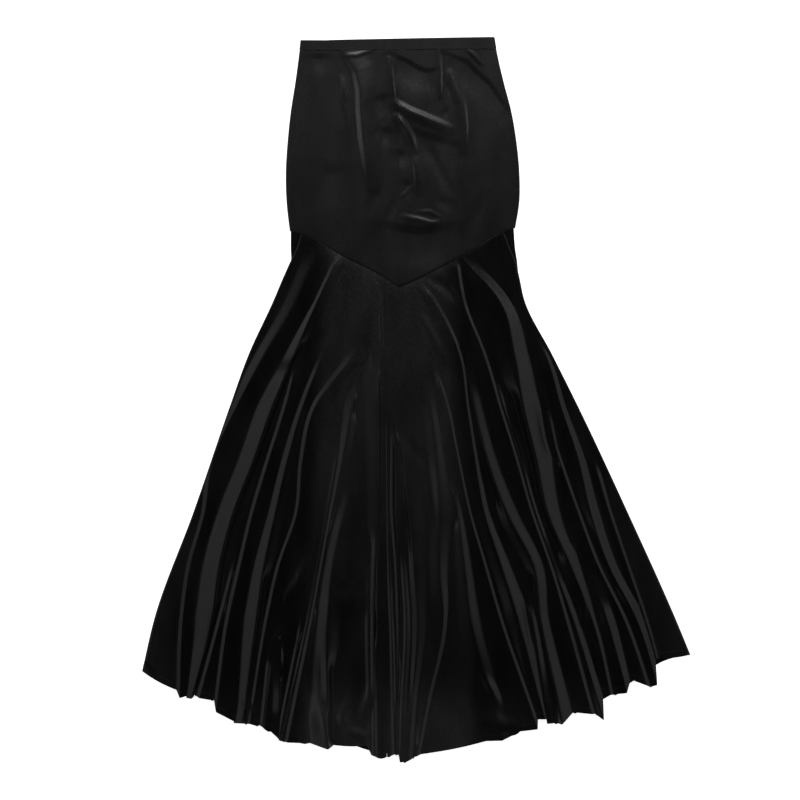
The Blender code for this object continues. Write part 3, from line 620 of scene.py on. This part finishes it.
V_SLOPE = 0.88  # distance from the V seam, as a share of the depth above or below it
YOKE_DIP = 1.1  # the yoke dips this much at that seam,
YOKE_DIP_REACH = 1.8  # over this distance
FLOUNCE_DIP = 0.9  # and the flounce this much
FLOUNCE_DIP_REACH = 9.0


def crease_height(across, down, creases):
    """Sum of soft ridges and troughs, each fading towards its ends."""
    total = np.zeros_like(across)
    for crease in creases:
        points = np.array(crease.points, float)
        legs = np.diff(points, axis=0)
        lengths = np.hypot(legs[:, 0], legs[:, 1])
        nearest = np.full_like(across, FAR)
        way = np.zeros_like(across)
        wide = np.ones_like(across)
        for index, (leg, length) in enumerate(zip(legs, lengths)):
            x, y = across - points[index, 0], down - points[index, 1]
            share = np.clip((x * leg[0] + y * leg[1]) / length**2, 0, 1)
            away = np.hypot(x - share * leg[0], y - share * leg[1])
            closer = away < nearest
            nearest = np.where(closer, away, nearest)
            way = np.where(closer, (lengths[:index].sum() + share * length) / lengths.sum(), way)
            turn = np.clip((leg[0] * y - leg[1] * x) / (length * np.maximum(away, TINY)), -1, 1)
            hand = crease.left_hand + (crease.right_hand - crease.left_hand) * (1 + turn) / 2
            wide = np.where(closer, hand, wide)
        taper = np.sin(np.pi * (TAPER_START + (1 - 2 * TAPER_START) * way)) ** TAPER_POWER
        away = np.minimum(nearest / (CREASE_SPREAD * wide), 1)
        total += crease.height * taper * facet(away, np.interp(wide, CREASE_WIDTHS, CREASE_ROUNDED))
    return total


def wobble(across, down):
    """Slow unevenness of cloth laid by hand: waves of unrelated lengths, so that no part repeats."""
    first = np.sin(across / 41 + 0.7 + np.sin(down / 83)) * np.sin(down / 57 + 0.4)
    second = np.sin(across / 17 + down / 61 + 2.1) * np.sin(down / 23 + across / 67)
    return WOBBLE_LONG * first + WOBBLE_SHORT * second


# ---- cloth and thread

# The pile turns at both sides, and there the ground colour is darkened as painted shade: this far from a
# line along the skirt, farther out below, and over a blend. These places are in metres of the scene, and so
# are those that follow.
NAP_MIDDLE = -0.044
NAP_HALF_WIDTH = 0.085
NAP_FLARE = 0.05
NAP_BLEND = 0.04
# Nearer the hem it turns in the middle too, by a part, with painted shade there as well; from HEM_FADE to
# HEM_END it turns back and the ground colour is lightened, by a factor, as painted light.
HEM_PART = 0.5
HEM_FROM = -0.10
HEM_FULL = -0.30
HEM_FADE = -0.40
HEM_END = -0.50
HEM_PAINTED_LIGHT = 2.2

# Noises of the pile: how fine each is, what share of that along the skirt, and how detailed.
Noise = namedtuple("Noise", "name scale along detail")
NOISES = [
    Noise("grain", 620, 1, 3),
    Noise("blotch", 34, 0.3, 5),
    Noise("mottle", 560, 0.6, 2),
]
BLOTCH_SHARE = 0.45  # of the ground's tone, beside the grain
DARK_UNTIL = 0.35
LIT_FROM = 0.68
BLUER = 1.04  # the lit ground's blue, beside its red and green
MOTTLE_RANGE = (0.3, 0.7)
ROUGHNESS_RANGE = (0.2, 0.8)
ROUGHNESS_SPREAD = 0.05
PILE_DEPTH = 0.0006


def mapped(tree, value, low, high, least, most):
    """Value taken smoothly from the range low..high to least..most."""
    node = tree.nodes.new("ShaderNodeMapRange")
    node.interpolation_type = "SMOOTHSTEP"
    for name, number in (("From Min", low), ("From Max", high), ("To Min", least), ("To Max", most)):
        node.inputs[name].default_value = number
    tree.links.new(value, node.inputs["Value"])
    return node.outputs["Result"]


def reckoned(tree, first, second, operation="ADD"):
    """Both values put together by a math node. The second may be a plain number."""
    node = tree.nodes.new("ShaderNodeMath")
    node.operation = operation
    tree.links.new(first, node.inputs[0])
    if isinstance(second, float):
        node.inputs[1].default_value = second
    else:
        tree.links.new(second, node.inputs[1])
    return node.outputs["Value"]


def pile_noises(tree, place):
    """The noises by their names."""
    noises = {}
    for row in NOISES:
        stretch = tree.nodes.new("ShaderNodeMapping")
        stretch.inputs["Scale"].default_value = (1, row.along, 1)
        tree.links.new(place, stretch.inputs["Vector"])
        noise = tree.nodes.new("ShaderNodeTexNoise")
        noise.inputs["Scale"].default_value = row.scale
        noise.inputs["Detail"].default_value = row.detail
        tree.links.new(stretch.outputs["Vector"], noise.inputs["Vector"])
        noises[row.name] = noise.outputs["Fac"]
    return noises


def pile_turn_and_painted_shade(tree, x, y):
    """How far the pile turns: 1 at both sides of the flounce, less near the hem, or 0. The ground colour is
    darkened by it as painted shade.
    """
    from_middle = reckoned(tree, x, -NAP_MIDDLE)
    from_middle = reckoned(tree, from_middle, 0.0, "ABSOLUTE")
    flare = reckoned(tree, y, -NAP_FLARE, "MULTIPLY")
    past = reckoned(tree, from_middle, flare, "SUBTRACT")
    past = reckoned(tree, past, -NAP_HALF_WIDTH)
    at_side = mapped(tree, past, 0.0, NAP_BLEND, 0.0, 1.0)
    below = mapped(tree, y, HEM_FULL, HEM_FROM, 1.0, 0.0)
    short_of_hem = mapped(tree, y, HEM_END, HEM_FADE, 0.0, 1.0)
    near_hem = reckoned(tree, below, short_of_hem, "MULTIPLY")
    near_hem = reckoned(tree, near_hem, HEM_PART, "MULTIPLY")
    return reckoned(tree, at_side, near_hem, "MAXIMUM")


def ground_colour(tree, tone, dark, lit, share):
    """Black ground between a dark and a lit one by its tone, all of it scaled by a share, which carries
    painted shade where the pile turns and painted light near the hem.
    """
    ramp = tree.nodes.new("ShaderNodeValToRGB")
    ramp.color_ramp.elements[0].position = DARK_UNTIL
    ramp.color_ramp.elements[0].color = (dark, dark, dark, 1)
    ramp.color_ramp.elements[1].position = LIT_FROM
    ramp.color_ramp.elements[1].color = (lit, lit, lit * BLUER, 1)
    tree.links.new(tone, ramp.inputs["Fac"])
    ground = tree.nodes.new("ShaderNodeVectorMath")
    ground.operation = "SCALE"
    tree.links.new(ramp.outputs["Color"], ground.inputs[0])
    tree.links.new(share, ground.inputs["Scale"])
    return ground.outputs["Vector"]


def leaning_normal(tree, lean):
    """The surface's normal, leant this much to the waist, or to the hem where it is negative."""
    tilt = tree.nodes.new("ShaderNodeCombineXYZ")
    tree.links.new(lean, tilt.inputs["Y"])
    leant = tree.nodes.new("ShaderNodeVectorMath")
    tree.links.new(tree.nodes.new("ShaderNodeNewGeometry").outputs["Normal"], leant.inputs[0])
    tree.links.new(tilt.outputs["Vector"], leant.inputs[1])
    whole = tree.nodes.new("ShaderNodeVectorMath")
    whole.operation = "NORMALIZE"
    tree.links.new(leant.outputs["Vector"], whole.inputs[0])
    return whole.outputs["Vector"]


def velvet(name, dark, lit, painted_side_shade, roughness, sleek, gloss, pile, lean, mottle):
    """Black pile: a dark ground, a soft gloss and a fine uneven nap. Where the pile turns it leans to the
    hem, by `lean`, and is smoother, by `sleek`; there its ground colour is also darkened to a share, as
    painted shade. Near the hem the ground colour is lightened, as painted light."""
    made = bpy.data.materials.new(name)
    made.use_nodes = True
    tree = made.node_tree
    shader = tree.nodes["Principled BSDF"]
    place = tree.nodes.new("ShaderNodeTexCoord").outputs["Object"]
    noises = pile_noises(tree, place)
    where = tree.nodes.new("ShaderNodeSeparateXYZ")
    tree.links.new(place, where.inputs["Vector"])
    y = where.outputs["Y"]
    turn_and_shade_mask = pile_turn_and_painted_shade(tree, where.outputs["X"], y)

    both = tree.nodes.new("ShaderNodeMix")
    both.inputs["Factor"].default_value = BLOTCH_SHARE
    tree.links.new(noises["grain"], both.inputs["A"])
    tree.links.new(noises["blotch"], both.inputs["B"])
    tone = both.outputs["Result"]
    # Painted shade: the ground colour is darkened where the pile turns.
    share = mapped(tree, turn_and_shade_mask, 0.0, 1.0, 1.0, painted_side_shade)
    # Painted light: the ground colour is lightened towards the hem, where the lamps fall off.
    painted_hem_light = mapped(tree, y, HEM_END, HEM_FADE, HEM_PAINTED_LIGHT, 1.0)
    share = reckoned(tree, share, painted_hem_light, "MULTIPLY")
    tree.links.new(ground_colour(tree, tone, dark, lit, share), shader.inputs["Base Color"])

    least, most = roughness - ROUGHNESS_SPREAD, roughness + ROUGHNESS_SPREAD
    rough = mapped(tree, tone, *ROUGHNESS_RANGE, least, most)
    sleeker = reckoned(tree, turn_and_shade_mask, sleek, "MULTIPLY")
    tree.links.new(reckoned(tree, rough, sleeker, "SUBTRACT"), shader.inputs["Roughness"])

    to_hem = reckoned(tree, turn_and_shade_mask, -lean, "MULTIPLY")
    uneven = mapped(tree, noises["mottle"], *MOTTLE_RANGE, -mottle, mottle)
    normal = leaning_normal(tree, reckoned(tree, to_hem, uneven))
    bump = tree.nodes.new("ShaderNodeBump")
    bump.inputs["Strength"].default_value = pile
    bump.inputs["Distance"].default_value = PILE_DEPTH
    tree.links.new(noises["grain"], bump.inputs["Height"])
    tree.links.new(normal, bump.inputs["Normal"])
    tree.links.new(bump.outputs["Normal"], shader.inputs["Normal"])
    shader.inputs["Metallic"].default_value = 0.0
    shader.inputs["Specular IOR Level"].default_value = gloss
    return made


def plain(name, colour, roughness):
    """Material of one colour."""
    made = bpy.data.materials.new(name)
    made.use_nodes = True
    shader = made.node_tree.nodes["Principled BSDF"]
    shader.inputs["Base Color"].default_value = (*colour, 1)
    shader.inputs["Roughness"].default_value = roughness
    return made


# The flounce's ground colour is darkened where the pile turns, as painted shade; the yoke's is not.
flounce_velvet = velvet(
    "velvet_pile", dark=0.003, lit=0.011, painted_side_shade=0.45, roughness=0.37, sleek=0.05, gloss=0.24,
    pile=0.06, lean=0.12, mottle=0.04,
)
thread = plain("black_thread", (0.008, 0.008, 0.008), 0.6)
yoke_velvet = velvet(
    "yoke_pile", dark=0.004, lit=0.0085, painted_side_shade=1.0, roughness=0.34, sleek=0.0, gloss=0.3,
    pile=0.05, lean=0.0, mottle=0.02,
)
LOOKS = {"velvet": flounce_velvet, "yoke_velvet": yoke_velvet}

# ---- shells and stitches

THREAD = 0.5
STITCH_LONG = 3.0
STITCH_GAP = 1.2
STITCH_SIDES = 6
STITCH_RINGS = ((0.0, 0.3), (0.15, 1.0), (0.85, 1.0), (1.0, 0.3))  # share of its length, of its radius
HEM_STITCH_UP = 9.0
BAND_STITCH_UP = 1.6

# The shells and, where a panel has one, its row of stitches, by the panel's node.
shells, stitch_rows = {}, {}


def added(name, data):
    """New object of the scene."""
    made = bpy.data.objects.new(name, data)
    bpy.context.scene.collection.objects.link(made)
    return made


def mesh_piece(name, points, faces, look):
    """New mesh object, from points in metres."""
    mesh = bpy.data.meshes.new(name)
    mesh.from_pydata(points, [], faces)
    mesh.materials.append(look)
    return added(name, mesh)


def in_scene(points):
    """Points of the skirt's own plan and height, (across, down, height), as the scene has them."""
    x = points[..., 0] - MIDDLE_ACROSS
    y = MIDDLE_DOWN - points[..., 1]
    return np.stack([x, y, points[..., 2]], axis=-1)


def shell(node, middle, thickness, slot):
    """Closed shell of even thickness about a grid of (across, down, height) points."""
    rows, columns = middle.shape[:2]
    corners = [r * columns + c for r in range(rows - 1) for c in range(columns - 1)]
    faces = [(i, i + columns, i + columns + 1, i + 1) for i in corners]
    points = (in_scene(middle).reshape(-1, 3) * MM).tolist()
    made = mesh_piece(node + "_shell", points, faces, LOOKS[slot])
    made.data.shade_smooth()
    solid = made.modifiers.new("cloth", "SOLIDIFY")
    solid.thickness = thickness * MM
    solid.offset = 0
    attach(made, "root")
    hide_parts(node)
    shells[node] = made


def along_edge(middle, up):
    """Path on a shell's middle surface, this far before the last row."""
    down = middle[..., 1]
    path = []
    for place in range(middle.shape[1]):
        at = down[-1, place] - up
        path.append([np.interp(at, down[:, place], middle[:, place, axis]) for axis in range(3)])
    return np.array(path)


def stitch(ends, first):
    """Points of one stitch between its ends, and its faces, whose points are counted from `first`."""
    ahead = (ends[1] - ends[0]) / np.linalg.norm(ends[1] - ends[0])
    aside = np.cross(ahead, (0, 0, 1))
    aside /= np.linalg.norm(aside)
    above = np.cross(aside, ahead)
    points = []
    for share, wide in STITCH_RINGS:
        middle = ends[0] + (ends[1] - ends[0]) * share
        for side in range(STITCH_SIDES):
            turn = 2 * math.pi * side / STITCH_SIDES
            points.append(middle + THREAD / 2 * wide * (math.cos(turn) * aside + math.sin(turn) * above))
    faces = []
    for ring in range(len(STITCH_RINGS) - 1):
        for side in range(STITCH_SIDES):
            near = first + ring * STITCH_SIDES + side
            beside = first + ring * STITCH_SIDES + (side + 1) % STITCH_SIDES
            faces.append((near, beside, beside + STITCH_SIDES, near + STITCH_SIDES))
    last = first + len(points) - STITCH_SIDES
    faces.append(tuple(first + side for side in reversed(range(STITCH_SIDES))))
    faces.append(tuple(last + side for side in range(STITCH_SIDES)))
    return points, faces


def stitches(name, path, thickness):
    """Row of stitches half sunk in the upper side of a shell, along a path on its middle surface."""
    path = in_scene(path) + (0, 0, thickness / 2)
    along = np.concatenate([[0], np.cumsum(np.linalg.norm(np.diff(path, axis=0), axis=1))])
    points, faces = [], []
    for start in np.arange(STITCH_GAP, along[-1] - STITCH_LONG, STITCH_LONG + STITCH_GAP):
        ends = [
            np.array([np.interp(at, along, path[:, axis]) for axis in range(3)])
            for at in (start, start + STITCH_LONG)
        ]
        more_points, more_faces = stitch(ends, len(points))
        points += more_points
        faces += more_faces
    made = mesh_piece(name, (np.array(points) * MM).tolist(), faces, thread)
    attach(made, "root")
    return made


def band(node, top, lowest, puffed):
    """One of the two bands. Its middle surface lies at `lowest`, or above it where it is puffed."""
    plan = between(
        (edge(YOKE, "right"), edge(YOKE, "left")),
        waist(top),
        waist("seam", -SEAM_GAP / 2),
        YOKE_COLUMNS,
        BAND_ROWS,
    )
    height = lowest + puffed * puff(plan[..., 0], plan[..., 1], YOKE, "right", "left")
    middle = raised(plan, height)
    shell(node, middle, BAND, "yoke_velvet")
    return middle


def yoke_front(node, first_edge, last_edge):
    """One half of the yoke's front."""
    plan = between(
        (first_edge, last_edge),
        waist("seam", SEAM_GAP / 2),
        lambda across: seam_down(across) - SEAM_GAP / 2,
        YOKE_COLUMNS,
        YOKE_ROWS,
    )
    across, down = plan[..., 0], plan[..., 1]
    above = (seam_down(across) - down) * V_SLOPE
    height = CLOTH + SEAM_GAP + CLOTH / 2
    height = height + puff(across, down, YOKE, "right", "left")
    height = height + crease_height(across, down, YOKE_CREASES) + wobble(across, down)
    height = height - YOKE_DIP * np.exp(-((above / YOKE_DIP_REACH) ** 2))
    shell(node, raised(plan, height), CLOTH, "yoke_velvet")


def flounce_half(node, folds, first_edge, last_edge, corners):
    """One half of the flounce's front, with the stitches of its hem."""
    middle = flounce_front(folds, first_edge, last_edge, corners)
    shell(node, middle, CLOTH, "velvet")
    stitch_rows[node] = stitches(node + "_stitches", along_edge(middle, HEM_STITCH_UP), CLOTH)


def back(node, edges, top_down, bottom_down, columns, creases, slot):
    """One panel of the back, which lies on the surface but for its creases."""
    plan = between(edges, top_down, bottom_down, columns, BACK_ROWS)
    height = CLOTH / 2 + crease_height(plan[..., 0], plan[..., 1], creases)
    shell(node, raised(plan, height), CLOTH, slot)


band("waistband_back", "back_top", BAND / 2, False)
front_band = band("waistband_front", "front_top", BAND + SEAM_GAP + BAND / 2, True)
band_seam = along_edge(front_band, BAND_STITCH_UP)
stitch_rows["waistband_front"] = stitches("band_stitches", band_seam, BAND)
yoke_front("yoke_front_right", edge(YOKE, "right"), edge(YOKE, "centre", -SEAM_GAP / 2))
yoke_front("yoke_front_left", edge(YOKE, "centre", SEAM_GAP / 2), edge(YOKE, "left"))
back(
    "yoke_back",
    (edge(YOKE, "right"), edge(YOKE, "centre"), edge(YOKE, "left")),
    waist("seam", SEAM_GAP / 2),
    lambda across: seam_down(across) - BACK_SEAM_UP - SEAM_GAP / 2,
    BACK_COLUMNS // 2,
    YOKE_BACK_CREASES,
    "yoke_velvet",
)
flounce_half(
    "flounce_front_right",
    RIGHT_FOLDS,
    edge(SIDES, "front_right"),
    edge(SIDES, "centre", -SEAM_GAP / 2),
    (HEM_RIGHT_CORNER, HEM_CENTRE),
)
flounce_half(
    "flounce_front_left",
    LEFT_FOLDS,
    edge(SIDES, "centre", SEAM_GAP / 2),
    edge(SIDES, "front_left"),
    (HEM_CENTRE, HEM_LEFT_CORNER),
)
back(
    "flounce_back",
    (edge(SIDES, "back_right"), lambda down: V_LEFT[0].across + 0 * down, edge(SIDES, "back_left")),
    lambda across: seam_down(across) - BACK_SEAM_UP + SEAM_GAP / 2,
    lambda across: column(BACK_HEM, "down", across),
    BACK_COLUMNS,
    FLOUNCE_BACK_CREASES,
    "velvet",
)

# Fields of the flat cut of a panel: the width and length of the rectangle that it comes out of, measured
# over its folds, its own area, and what it lies on. In metres. No panel's cut is listed here.
Cut = namedtuple("Cut", "node width length area lies_on")

# ---- floor, lights and camera

FLOOR = 4.0
PAPER_GLOW = 0.9
ROOM_LIGHT = 0.01

paper = plain("paper", (0.92, 0.92, 0.92), 0.9)
paper.node_tree.nodes["Principled BSDF"].inputs["Emission Color"].default_value = (1, 1, 1, 1)
paper.node_tree.nodes["Principled BSDF"].inputs["Emission Strength"].default_value = PAPER_GLOW
corners = [(-FLOOR, -FLOOR, 0), (FLOOR, -FLOOR, 0), (FLOOR, FLOOR, 0), (-FLOOR, FLOOR, 0)]
floor = mesh_piece("floor", corners, [(0, 1, 2, 3)], paper)

# Strip lights with a grid in front, each aimed at a point of the floor. Azimuth 0 is the waist
# side, 90 the wearer's left. The angles are in degrees, the spread is the grid's, and the rest is
# in metres and watts.
Softbox = namedtuple("Softbox", "name azimuth elevation distance width length spread aim power")
SOFTBOXES = [
    Softbox("key_right", -90, 47, 1.6, 0.6, 3.4, 100, (-0.22, -0.2, 0), 2.7),
    Softbox("key_left", 90, 47, 1.6, 0.6, 3.4, 100, (0.22, -0.2, 0), 2.7),
    Softbox("yoke_right", -90, 47, 1.6, 0.4, 0.6, 50, (-0.1, 0.6, 0), 0.15),
    Softbox("yoke_left", 90, 47, 1.6, 0.4, 0.6, 50, (0.1, 0.6, 0), 0.15),
    Softbox("waist_side", 0, 50, 4.6, 1.0, 1.6, 60, (0, 0.2, 0), 13.0),
]


def lit_softbox(box):
    """Adds the light of one row, its length level."""
    light = bpy.data.lights.new(box.name, "AREA")
    light.shape = "RECTANGLE"
    light.energy = box.power
    light.size = box.width
    light.size_y = box.length
    light.spread = math.radians(box.spread)
    made = added(box.name, light)
    a, e = math.radians(box.azimuth), math.radians(box.elevation)
    away = Vector((math.sin(a) * math.cos(e), math.cos(a) * math.cos(e), math.sin(e)))
    made.location = Vector(box.aim) + box.distance * away
    made.rotation_mode = "QUATERNION"
    made.rotation_quaternion = away.to_track_quat("Z", "X")


for box in SOFTBOXES:
    lit_softbox(box)

world = bpy.data.worlds.new("studio")
world.use_nodes = True
world.node_tree.nodes["Background"].inputs["Color"].default_value = (1, 1, 1, 1)
world.node_tree.nodes["Background"].inputs["Strength"].default_value = ROOM_LIGHT
bpy.context.scene.world = world
bpy.context.scene.view_settings.view_transform = "Standard"

# The camera looks straight down at this depth of the skirt, and sees a square of this width.
EYE_DOWN = 550.2
FIELD = 1216 * MM
LENS = 85.0
SENSOR = 36.0
camera = bpy.data.cameras.new("camera")
camera.lens = LENS
camera.sensor_width = SENSOR
eye = added("camera", camera)
eye.location = (-MIDDLE_ACROSS * MM, (MIDDLE_DOWN - EYE_DOWN) * MM, FIELD * LENS / SENSOR)
bpy.context.scene.camera = eye
